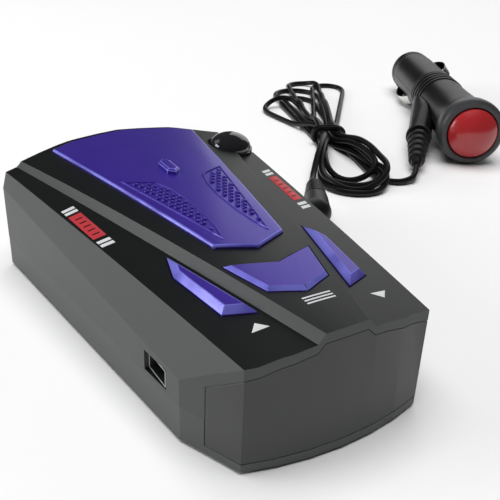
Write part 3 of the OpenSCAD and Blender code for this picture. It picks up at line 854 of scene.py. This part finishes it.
# -------------------------------------------------------------------- cord
@dataclass
class SupplyCord:
    """The thin cord: out of the angled plug, through the tied hank, to the 12 V plug.

    Sizes and places are in mm.  A round end of the hank is its middle and its
    radius, and a lane is how far to the left of the middle line a turn passes
    the tie, on its way out and on its way back.
    """

    diameter: float = 2.2
    length_m: float = 1.38
    lead: Route = ((60, 40.4, 8.2), (61.8, 43.4, 7.3), (63.8, 46.6, 6), (66.1, 50, 4.4),
                   (68.8, 53.6, 2.9), (72, 57.4, 1.8), (75.6, 61.4, 1.4), (79.4, 65.4, 1.3),
                   (83.2, 69.2, 1.3), (85.4, 71.6, 1.3))
    tail: Route = ((112.2, 49.3, 3.7), (110.1, 47.1, 3.2), (107.9, 45.1, 2.5),
                   (105.4, 43.4, 1.8), (102.6, 42.4, 1.3), (99.8, 42.6, 1.2), (97.4, 44, 1.2),
                   (95.6, 46, 1.2))
    way_in: Pair = (91.6, 78.2)
    way_out: Plan = ((99.6, 66), (95.4, 54))
    waist: Pair = (103, 91)
    heading: float = 66.0
    bundled: float = 5.0
    half_bundle: float = 3.0
    lanes: tuple[Pair, ...] = ((3.2, -3.4), (1.0, -1.1), (3.9, -3.6),
                                              (1.7, -1.3), (4.4, -4.6))
    near_ends: tuple[Triple, ...] = (
        (86.8, 53.4, 12.2), (89.6, 58.6, 9.4), (85.4, 51.6, 12.2), (88.6, 56.2, 10.6))
    far_ends: tuple[Triple, ...] = (
        (142.0, 165.8, 8.0), (110.6, 136.4, 8.8), (151.6, 157.8, 7.9), (129.6, 153.0, 11.0),
        (123.6, 143.6, 8.4))
    step: float = 1.5
    passes: int = 16
    kept_first: int = 3
    kept_last: int = 8
    spacing: float = 1.02
    floor_gap: float = 0.05
    slope: float = 0.34
    look_ahead: int = 16
    cell: float = 3.0

    def _arc(self, centre: Pair, radius: float, sweep: float) -> list[Vector]:
        """Points round one end of the hank, from side to side.

        Args:
            centre: Middle of the end's round.
            radius: Its radius.
            sweep: How far round the end it goes to either side, in degrees.

        Returns:
            The points of the arc.
        """
        out = (Vector(centre) - Vector(self.waist)).normalized()
        heading = math.degrees(math.atan2(out.y, out.x))
        turns = [sweep * (1 - i / 4) for i in range(9)]
        return [Vector((centre[0] + radius * math.cos(math.radians(heading + t)),
                        centre[1] + radius * math.sin(math.radians(heading + t))))
                for t in turns]

    def _lane(self, lane: float, along: float) -> Vector:
        """A point in the tie, beside the hank's middle line.

        Args:
            lane: How far to the left of the middle line, looking to the far end.
            along: How far past the tie.

        Returns:
            The point.
        """
        turn = math.radians(self.heading)
        ahead = Vector((math.cos(turn), math.sin(turn)))
        left = Vector((-math.sin(turn), math.cos(turn)))
        return Vector(self.waist) + lane * left + along * ahead

    def _loop(self, end: Triple, first: float, last: float,
              along: float) -> list[Vector]:
        """One bight of the hank, out from the tie and back to it.

        Args:
            end: Middle and radius of the bight's round end.
            first: Lane that it leaves the tie in.
            last: Lane that it comes back in.
            along: How far past the tie the bundle stays together.

        Returns:
            The points of the bight.
        """
        x, y, radius = end
        reach = (Vector((x, y)) - Vector(self.waist)).length
        narrowed = min(0.9, (radius - self.half_bundle) / reach)
        sweep = 90 + math.degrees(math.asin(narrowed))
        return [self._lane(first, 0), self._lane(first, along),
                *self._arc((x, y), radius, sweep),
                self._lane(last, along), self._lane(last, 0)]

    def _plan(self) -> list[list[Vector]]:
        """The cord's way seen from above, cut into stretches in the order of the cord.

        Returns:
            The stretches, each a list of points at even steps.
        """
        first, last = self.lanes[0][0], self.lanes[-1][1]
        lead = [Vector(p[:2]) for p in self.lead]
        tail = [Vector(p[:2]) for p in reversed(self.tail)]
        ways = [[*lead, Vector(self.way_in), self._lane(first - 0.4, -self.bundled - 1),
                 self._lane(first, 0)]]
        for turn, (up, down) in enumerate(self.lanes):
            ways.append(self._loop(self.far_ends[turn], up, down, self.bundled))
            if turn < len(self.near_ends):
                ways.append(self._loop(self.near_ends[turn], down, self.lanes[turn + 1][0],
                                       -self.bundled))
        ways.append([self._lane(last, 0), self._lane(last, -self.bundled - 2),
                     *[Vector(p) for p in self.way_out], *tail])
        plans = [self._even(way) for way in ways]
        cuts = [sum(len(plan) - 1 for plan in plans[:i]) for i in range(len(plans) + 1)]
        line = [plans[0][0], *[p for plan in plans for p in plan[1:]]]
        free = len(self._even(lead)) - self.kept_first
        bound = len(line) - len(self._even(tail[::-1])) + self.kept_last
        for _ in range(self.passes):
            line = [(line[i - 1] + 2 * line[i] + line[i + 1]) / 4 if free < i < bound else line[i]
                    for i in range(len(line))]
        return [line[low:high + 1] for low, high in zip(cuts, cuts[1:])]

    def _even(self, line: list[Vector]) -> list[Vector]:
        """Set a line's points at even steps.

        Args:
            line: The line.

        Returns:
            The new points.
        """
        lengths = [0.0]
        for a, b in zip(line, line[1:]):
            lengths.append(lengths[-1] + (b - a).length)
        count = max(2, round(lengths[-1] / self.step))
        out, k = [], 0
        for i in range(count + 1):
            want = lengths[-1] * i / count
            while k < len(lengths) - 2 and lengths[k + 1] < want:
                k += 1
            share = (want - lengths[k]) / max(lengths[k + 1] - lengths[k], 1e-9)
            out.append(line[k].lerp(line[k + 1], min(max(share, 0), 1)))
        return out

    def _heights(self, plans: list[list[Vector]]) -> list[list[float]]:
        """Lay the stretches on the floor and over each other, the last one first.

        Args:
            plans: The stretches seen from above, in even steps.

        Returns:
            The height of the cord's middle at each point.
        """
        gap, floor = self.diameter * self.spacing, self.diameter / 2 + self.floor_gap
        pace = self.slope * self.step
        laid: dict[tuple[int, int], list[tuple[Vector, float]]] = {}
        heights: list[list[float]] = [[] for _ in plans]
        for index in reversed(range(len(plans))):
            line = plans[index]
            needs = []
            for point in line:
                cell = self._cell(point)
                need = max(floor, self._route_height(point))
                for dx in (-1, 0, 1):
                    for dy in (-1, 0, 1):
                        for other, z in laid.get((cell[0] + dx, cell[1] + dy), ()):
                            apart = (point - other).length_squared
                            if apart < gap * gap:
                                need = max(need, z + math.sqrt(gap * gap - apart))
                needs.append(need)
            own = [max(n - pace * abs(i - k) for k, n in enumerate(needs)
                       if abs(i - k) < self.look_ahead) for i in range(len(line))]
            if index < len(plans) - 1:
                start = heights[index + 1][0]
                own = [max(z, start - pace * (len(line) - 1 - i)) for i, z in enumerate(own)]
            heights[index] = [max(z, floor) for z in own]
            for point, z in list(zip(line, heights[index]))[2:-2]:
                laid.setdefault(self._cell(point), []).append((point, z))
        return heights

    def _cell(self, point: Vector) -> tuple[int, int]:
        """The square of the floor that a spot lies in."""
        return math.floor(point.x / self.cell), math.floor(point.y / self.cell)

    def _route_height(self, point: Vector) -> float:
        """Height of the lead or the tail over a spot, or zero off them.

        Args:
            point: The spot seen from above, in mm.

        Returns:
            The height of the route there, in mm.
        """
        for route in (self.lead, self.tail):
            for a, b in zip(route, route[1:]):
                one, two = Vector(a[:2]), Vector(b[:2])
                share = (point - one).dot(two - one) / (two - one).length_squared
                share = min(max(share, 0.0), 1.0)
                if (one.lerp(two, share) - point).length < 0.5:
                    return a[2] + (b[2] - a[2]) * share
        return 0.0

    def centreline(self) -> list[Vector]:
        """The whole middle line of the cord, in metres.

        Returns:
            The points, from the angled plug to the 12 V plug.
        """
        plans = self._plan()
        points: list[Vector] = []
        for line, zs in zip(plans, self._heights(plans)):
            points += [Vector((p.x, p.y, z)) for p, z in zip(line, zs)][1 if points else 0:]
        first, last = points[0].z, points[-1].z
        for _ in range(10):
            levels = [(a.z + 2 * b.z + c.z) / 4 for a, b, c in zip(points, points[1:], points[2:])]
            for point, level in zip(points[1:-1], levels):
                point.z = level
        points[0].z, points[-1].z = first, last
        return [p * MM for p in points]

    def build(self) -> bpy.types.Object:
        """Make the cord as one open curve.

        Returns:
            The cord.
        """
        points = self.centreline()
        data = bpy.data.curves.new("supply_cord", "CURVE")
        data.dimensions = "3D"
        data.bevel_depth = self.diameter / 2 * MM
        data.bevel_resolution = 3
        data.use_fill_caps = True
        spline = data.splines.new("POLY")
        spline.points.add(len(points) - 1)
        spline.points.foreach_set("co", [c for p in points for c in (*p, 1.0)])
        spline.use_smooth = True
        cord = bpy.data.objects.new("supply_cord", data)
        bpy.context.scene.collection.objects.link(cord)
        data.materials.append(Slot.CORD_PVC.value.material())
        settle(cord, Slot.CORD_PVC, ROOT, "cord_lead", "cord_hank", "cord_tail")
        measured = sum((b - a).length for a, b in zip(points, points[1:]))
        LOG.info("the cord's middle line is %.3f m long", measured)
        return cord


@dataclass
class CordTie:
    """The turn of cord that holds the hank: two rounds side by side, wound tight."""

    turn: float = 67.0
    thick: float = 1.0
    band: float = 2.4
    apart: float = 0.62
    flatness: float = 0.62
    wander: float = 0.35
    corners: int = 12
    steps: int = 64

    def _squared(self, share: float) -> float:
        """Draw a sine or cosine out, so that a round follows the hank's flat shape."""
        return math.copysign(abs(share) ** self.flatness, share)

    def build(self) -> bpy.types.Object:
        """Wind the tie inside the box that the CAD gives it.

        Returns:
            The tie.
        """
        low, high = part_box("cord_tie")
        middle = (low + high) / 2
        lean = math.radians(self.turn)
        across = Vector((-math.sin(lean), math.cos(lean), 0))
        along = Vector((math.cos(lean), math.sin(lean), 0))
        reach = ((high.x - low.x) / abs(across.x) - self.band * MM / math.tan(lean)) / 2
        thick = self.thick * MM
        wide, tall = reach - thick, (high.z - low.z) / 2 - thick
        whole = bmesh.new()
        for side in (-1, 1):
            rings = []
            for i in range(self.steps):
                a = math.tau * i / self.steps
                shift = side * (self.apart + self.wander * math.sin(a)) * MM
                centre = (middle + across * wide * self._squared(math.cos(a))
                          + UP * tall * self._squared(math.sin(a)) + along * shift)
                out = (across * math.cos(a) / wide + UP * math.sin(a) / tall).normalized()
                rings.append([whole.verts.new(
                    centre + thick * (self.apart * math.sin(b) * along + math.cos(b) * out))
                    for b in (math.tau * k / self.corners for k in range(self.corners))])
            for one, two in sides(rings):
                bridge(whole, one, two)
        bmesh.ops.recalc_face_normals(whole, faces=whole.faces)
        return moulded("cord_tie_skin", whole, Slot.CORD_PVC, "cord_tie", smooth_angle=80)


# -------------------------------------------------------------------- case
@dataclass
class Case:
    """The two halves, the windows and what is set into them."""

    round_mm: float = 0.55
    seam_round: float = 0.3
    slope_angle: float = 14.0
    strip: Pair = (0.48, 0.22)
    strip_pitch: float = 0.95

    def build(self) -> None:
        """Make every piece of the case."""
        for casting in (
            # the upper case's slopes and sides are painted lighter than its top, as painted light
            PaintedLightCasting("upper_case", Slot.CASE_TOP, self.round_mm, segments=3,
                           angle=self.slope_angle),
            Casting("lower_case", Slot.CASE_BOTTOM, self.seam_round, angle=self.slope_angle),
            Casting("display_window", Slot.WINDOW_SMOKE, 0.35),
            Casting("laser_window", Slot.LASER_DARK, 0.35),
            Casting("rubber_feet", Slot.FOOT_RUBBER, 0.25),
            Casting("usb_socket", Slot.TIN_PLATE, 0.12),
            Casting("usb_tongue", Slot.CHIP_BLACK, 0.1),
        ):
            casting.build()
        self._line_tongue()

    def _line_tongue(self) -> None:
        """Lay the five contact strips on the socket's tongue."""
        low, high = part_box("usb_tongue")
        bm = bmesh.new()
        bmesh.ops.create_cube(bm, size=1.0)
        wide, thick = self.strip
        bm.transform(Matrix.Diagonal(((high.x - low.x) * 0.9, wide * MM, thick * MM, 1)))
        soften(bm, 0.06, 2, 40.0)
        strip = add_object("strip", mesh_from(bm, "strip"), Slot.BRASS.value)
        strips = Repeat("usb_strips", strip, Slot.BRASS.value)
        middle = (low + high) / 2
        seats = [(Vector((middle.x, middle.y + k * self.strip_pitch * MM, high.z)), UP)
                 for k in range(-2, 3)]
        piece = strips.spread("usb_strip_set", seats)
        strips.drop_shape()
        settle(piece, Slot.BRASS, ROOT)


@dataclass
class TopPanel:
    """The violet panel: its skin, its raised bar and two beaded leaves."""

    bar: Plan = ((0, 15.6), (1.7, 17.3), (1.7, 22.7), (0, 24.4), (-1.7, 22.7), (-1.7, 17.3))
    leaf: Plan = ((-13.1, 17.6), (-5.5, -17.7), (-4.5, -13.0), (-3.9, -6.0), (-3.9, 1.5),
                  (-4.7, 8.5), (-6.3, 13.9))
    bar_sink: float = 0.4
    bar_rise: float = 1.25
    bar_edge: float = 0.6
    rim_width: float = 0.55
    rim_rise: float = 0.28
    rim_sink: float = 0.2
    rim_step: float = 1.5
    bead_radius: float = 0.7
    bead_pitch: Pair = (1.72, 1.55)

    def _leaf(self, side: int) -> list[Pair]:
        """Outline of one leaf, in the part's own frame.

        Args:
            side: 1 for the left leaf and -1 for the right one.

        Returns:
            The outline, anticlockwise.
        """
        plan = [(side * x, y + CASE_SHIFT) for x, y in self.leaf]
        return plan if side > 0 else plan[::-1]

    def build(self) -> None:
        """Make the panel and everything moulded on it."""
        Casting("accent_panel", Slot.VIOLET_GLOSS, 0.5).build()
        skin = Surface("accent_panel")
        bar = [(x, y + CASE_SHIFT) for x, y in self.bar]
        bm = laid_plate(skin, bar, self.bar_sink, self.bar_rise, self.bar_edge)
        soften(bm, 0.12, 2, 20.0)
        moulded("panel_bar", bm, Slot.VIOLET_GLOSS)
        for side, name in ((1, "left"), (-1, "right")):
            plan = self._leaf(side)
            fine = cut_sides(plan, side_counts(plan, self.rim_step))
            rim = frame_ring(skin, fine, self.rim_width, self.rim_sink, self.rim_rise)
            moulded(f"{name}_leaf_rim", rim, Slot.VIOLET_GLOSS)
        beads = Repeat("beads", self._bead(), Slot.VIOLET_GLOSS.value)
        for side, name in ((1, "left"), (-1, "right")):
            piece = beads.spread(f"{name}_leaf_beads", self._seats(skin, self._leaf(side)))
            settle(piece, Slot.VIOLET_GLOSS, ROOT)
        beads.drop_shape()

    def _bead(self) -> bpy.types.Object:
        """One low bead, round and closed.

        Returns:
            The bead, modelled round the origin.
        """
        r = self.bead_radius
        profile = [(0, -0.15), (r, -0.15), (r, 0.06), (0.84 * r, 0.30), (0.5 * r, 0.46), (0, 0.5)]
        return add_object("bead", mesh_from(turned(profile, Matrix(), 10), "bead", 60),
                          Slot.VIOLET_GLOSS.value)

    def _seats(self, skin: Surface, plan: Plan) -> list[tuple[Vector, Vector]]:
        """Staggered rows of seats that fill a leaf.

        Args:
            skin: The panel's skin.
            plan: The leaf's outline.

        Returns:
            Where each bead stands and which way it points.
        """
        room = grown(plan, -(self.rim_width / 2 + self.bead_radius * 0.8))
        across, along = self.bead_pitch
        low, top = min(y for _, y in plan), max(y for _, y in plan)
        reach = math.ceil(max(abs(x) for x, _ in plan) / across)
        seats = []
        for row in range(math.ceil((top - low) / along)):
            y = low + row * along
            for column in range(-reach - 1, reach + 1):
                x = (column + (row % 2) / 2) * across
                if inside(room, x, y):
                    seats.append((Vector((x, y, skin.height(x, y))) * MM, UP))
        return seats


@dataclass
class Marks:
    """Plain printed marks: arrows and bars by the keys, and two striped badges."""

    lift: float = 0.06
    sink: float = 0.1
    edge: float = 0.05
    step: float = 2.0
    badges: tuple[Plan, ...] = (
        ((-28.9, 17.0), (-26.6, -3.7), (-23.4, -3.1), (-25.6, 18.2)),
        ((22.9, -6.2), (25.8, -5.5), (29.0, 19.6), (26.2, 18.6)))

    def build(self) -> None:
        """Print every mark."""
        self.skin = Surface("upper_case")
        white, red, dark = [], [], []
        white += self._key_marks()
        for corners in self.badges:
            bars, block, lines = self._badge(corners)
            white += bars
            red += block
            dark += lines
        self._print("white_marks", white, MARK_WHITE, self.lift)
        self._print("red_blocks", red, MARK_RED, self.lift)
        self._print("block_lines", dark, Slot.CASE_TOP.value, self.lift * 2)

    @staticmethod
    def _key_marks() -> list[Plan]:
        """An arrow up, three bars and an arrow down, beside the three keys.

        Returns:
            The outlines, anticlockwise.
        """
        up = [(-14.6, -44.8), (-10.8, -44.8), (-12.7, -42.6)]
        down = [(14.8, -46.0), (16.7, -43.8), (12.9, -43.8)]
        bars = [[(-2.6, y), (3.8, y), (3.8, y + 0.42), (-2.6, y + 0.42)]
                for y in (-44.7, -43.8, -42.9)]
        return [up, down, *bars]

    @staticmethod
    def _badge(corners: Plan) -> tuple[list[Plan], list[Plan], list[Plan]]:
        """A red block between two pairs of slanted bars.

        Args:
            corners: The badge's four corners, anticlockwise.

        Returns:
            The white bars, the red block and the dark lines on it.
        """
        far_out, near_out, near_in, far_in = (Vector(c) for c in corners)
        if far_out.y < near_out.y + 5:
            near_out, near_in, far_in, far_out = (Vector(c) for c in corners)

        def strip(a: float, b: float, low: float = 0.0, high: float = 1.0) -> Plan:
            """A slanted piece of the badge, from a to b along it."""
            def spot(along: float, across: float) -> Pair:
                """A point of the badge by its two shares."""
                point = far_out.lerp(near_out, along).lerp(far_in.lerp(near_in, along), across)
                return point.x, point.y
            plan = [spot(a, low), spot(b, low), spot(b, high), spot(a, high)]
            area = sum(x0 * y1 - x1 * y0 for (x0, y0), (x1, y1) in sides(plan))
            return plan if area > 0 else plan[::-1]

        bars = [strip(a, a + 0.055) for a in (0.02, 0.10, 0.86, 0.94)]
        lines = [strip(a, a + 0.02, 0.22, 0.78) for a in (0.30, 0.40, 0.50, 0.60, 0.70)]
        return bars, [strip(0.20, 0.80)], lines

    def _print(self, name: str, plans: list[Plan], finish: Finish, lift: float) -> None:
        """Print outlines as one thin piece.

        Args:
            name: The piece's name.
            plans: Its outlines.
            finish: Its ink.
            lift: How far the ink stands proud.
        """
        whole = bmesh.new()
        for plan in plans:
            placed = [(x, y + CASE_SHIFT) for x, y in plan]
            part = laid_plate(self.skin, placed, self.sink, lift, self.edge, self.step)
            mesh = mesh_from(part, "part")
            whole.from_mesh(mesh)
            bpy.data.meshes.remove(mesh)
        settle(add_object(name, mesh_from(whole, name), finish), Slot.CASE_TOP, ROOT)


@dataclass
class Underside:
    """The four case screws with their crossed recesses."""

    head: float = 2.3
    crest: float = 0.95
    root: float = 0.78
    recess: Triple = (2.7, 0.55, 1.9)
    spots: Plan = ((29.6, 37.5), (-29.6, 37.5), (20.6, -40.8), (-20.6, -40.8))

    def build(self) -> None:
        """Set one screw in each hole, head down."""
        screws = Repeat("case_screws", self._screw(), Slot.SCREW_STEEL.value)
        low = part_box("case_screws")[0].z
        seats = [(Vector((x * MM, (y + CASE_SHIFT) * MM, low)), UP) for x, y in self.spots]
        piece = screws.spread("case_screw_set", seats, turn=math.radians(80))
        screws.drop_shape()
        settle(piece, Slot.SCREW_STEEL, ROOT, "case_screws")

    def _screw(self) -> bpy.types.Object:
        """One screw with a crossed recess, standing on its head.

        Returns:
            The screw, with the middle of its head's face at the origin.
        """
        r = self.head
        profile = [(0, 0), (0.72 * r, 0), (0.93 * r, 0.12), (r, 0.4), (r, 1.7),
                   (self.crest, 1.75)]
        profile += [(self.crest if i % 2 else self.root, 2.1 + 0.35 * i) for i in range(28)]
        profile += [(0.3, 11.95), (0, 12)]
        body = add_object("screw", mesh_from(turned(profile, Matrix(), 32), "screw"),
                          Slot.SCREW_STEEL.value)
        for turn in (0.0, math.pi / 2):
            bm = bmesh.new()
            bmesh.ops.create_cube(bm, size=1.0)
            bm.transform(Matrix.Rotation(turn, 4, "Z")
                         @ Matrix.Diagonal((*[side * MM for side in self.recess], 1)))
            cutter = add_object("cutter", mesh_from(bm, "cutter"), Slot.SCREW_STEEL.value)
            cut = body.modifiers.new("recess", "BOOLEAN")
            cut.operation, cut.object, cut.solver = "DIFFERENCE", cutter, "EXACT"
            graph = bpy.context.evaluated_depsgraph_get()
            shaped = bpy.data.meshes.new_from_object(body.evaluated_get(graph))
            body.modifiers.remove(cut)
            bpy.data.objects.remove(cutter)
            body.data = shaped
        return body


@dataclass
class Dome:
    """The sensor's glossy dome on its flange; hollow is the inner round's share of it."""

    steps: int = 96
    hollow: Pair = (0.8, 0.78)

    def build(self) -> None:
        """Turn the dome and its flange at their CAD sizes."""
        low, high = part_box("dome_lens")
        middle = (low + high) / 2
        radius, rise = (high.x - low.x) / 2 / MM, (high.z - low.z) / MM
        place = Matrix.Translation((middle.x, middle.y, low.z))
        arc = [(radius * math.cos(a), rise * math.sin(a))
               for a in (math.radians(6 * i) for i in range(16))]
        wide, tall = self.hollow
        inner = [(wide * radius * math.cos(a), tall * rise * math.sin(a))
                 for a in (math.radians(6 * i) for i in range(15, -1, -1))]
        arc[-1], inner[0] = (0.0, arc[-1][1]), (0.0, inner[0][1])
        lens = turned([*arc, *inner], place, self.steps)
        bmesh.ops.remove_doubles(lens, verts=lens.verts, dist=1e-7)
        moulded("dome_glass", lens, Slot.DOME_BLACK, "dome_lens", smooth_angle=50)
        Casting("dome_base", Slot.DOME_BLACK, 0.25, segments=3).build()


@dataclass
class SupplyPlug:
    """The 12 V plug: its shells, ring, pin, side contacts, spring and red switch."""

    along: Triple = (0.499841, 0.865749, -0.025243)
    spring_foot: Triple = (0.165491, 0.096482, 0.011186)
    spring_keep: float = 0.845

    def build(self) -> None:
        """Dress every piece of the plug that moves or shows."""
        coil = moulded("pin_spring_coil", merged_copy("pin_spring"), Slot.SCREW_STEEL,
                       "pin_spring", smooth_angle=60)
        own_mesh(coil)
        for casting in (
            Casting("plug_shell_top", Slot.PLUG_BLACK, 0.2),
            Casting("plug_shell_bottom", Slot.PLUG_BLACK, 0.2),
            Casting("plug_tip_ring", Slot.PLUG_BLACK, 0.2),
            Casting("plug_centre_pin", Slot.NICKEL, 0.2, "centre_pin"),
            Casting("contact_left", Slot.NICKEL, 0.1, "left_contact"),
            Casting("contact_right", Slot.NICKEL, 0.1, "right_contact"),
            Casting("switch_bezel", Slot.BEZEL_GREY, 0.8, segments=4),
            Casting("switch_button", Slot.SWITCH_RED, 0.3, "switch_key"),
        ):
            casting.build()


def dress_inner_nodes() -> None:
    """Give every CAD node that keeps its shape its own finish."""
    for slot, names in NODE_SLOTS.items():
        for name in names:
            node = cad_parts[name]
            node.data.materials.clear()
            node.data.materials.append(slot.value.material())
            LOG.info("%s keeps its shape, in %s", name, slot.value.name)


def main() -> None:
    """Build the set, the cord, the case and the plug, in that order."""
    logging.basicConfig(level=logging.INFO, format="%(name)s: %(message)s")
    studio = Studio()
    studio.place_camera()
    studio.lay_floor()
    studio.light()
    supply = SupplyCord()
    cord = supply.build()
    boots = [Casting("cord_boot", Slot.BOOT_PVC, 0.25).build(),
             Casting("dc_plug_boot", Slot.BOOT_PVC, 0.25).build(),
             Casting("plug_neck", Slot.PLUG_BLACK, 0.3).build()]
    tie = CordTie().build()
    Case().build()
    TopPanel().build()
    for cap in (KeyCap("up_button", Slot.VIOLET_GLOSS, 0.12, "up_key"),
                KeyCap("menu_button", Slot.VIOLET_GLOSS, 0.12, "menu_key", chamfer=0.75),
                KeyCap("down_button", Slot.VIOLET_GLOSS, 0.12, "down_key")):
        cap.build()
    Marks().build()
    Dome().build()
    Underside().build()
    SupplyPlug().build()
    dress_inner_nodes()


if __name__ == "__main__":
    main()
